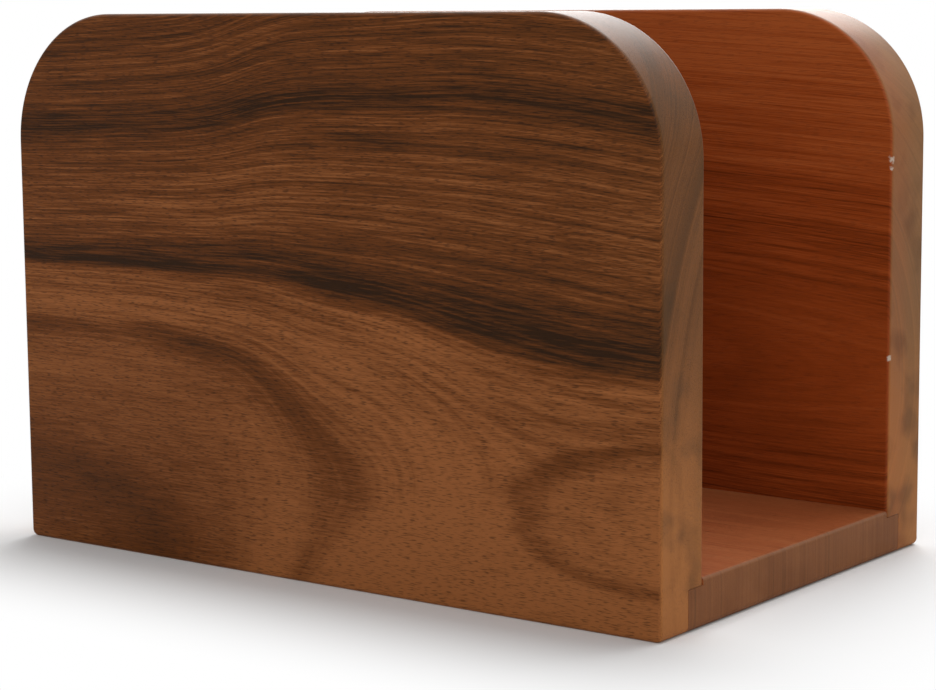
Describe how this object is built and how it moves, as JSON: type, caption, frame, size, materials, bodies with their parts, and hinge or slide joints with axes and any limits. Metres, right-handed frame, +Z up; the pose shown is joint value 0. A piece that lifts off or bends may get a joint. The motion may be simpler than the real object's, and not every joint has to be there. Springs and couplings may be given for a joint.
{
  "type": "napkin holder",
  "caption": "Free-standing hardwood napkin holder: rounded upright panels on a base board, with an open slot between them for a stack of napkins on edge.",
  "frame": {"origin": "middle of the underside, on the table the holder stands on", "axes": "+X along the slot and the grain, +Y from the front panel to the back panel, +Z up"},
  "size_m": [0.17, 0.106, 0.118],
  "materials": {
    "front_board": "dark streaked acacia, grain along X, satin oil",
    "back_board": "red-brown acacia, grain along X, satin oil",
    "base_board": "brown acacia, grain along X, satin oil",
    "dowels": "bare fluted beech"
  },
  "bodies": {
    "root": {"front_panel": "front_board", "back_panel": "back_board", "base_board": "base_board", "dowel_front_left": "dowels", "dowel_front_middle": "dowels", "dowel_front_right": "dowels", "dowel_back_left": "dowels", "dowel_back_middle": "dowels", "dowel_back_right": "dowels"}
  },
  "joints": []
}
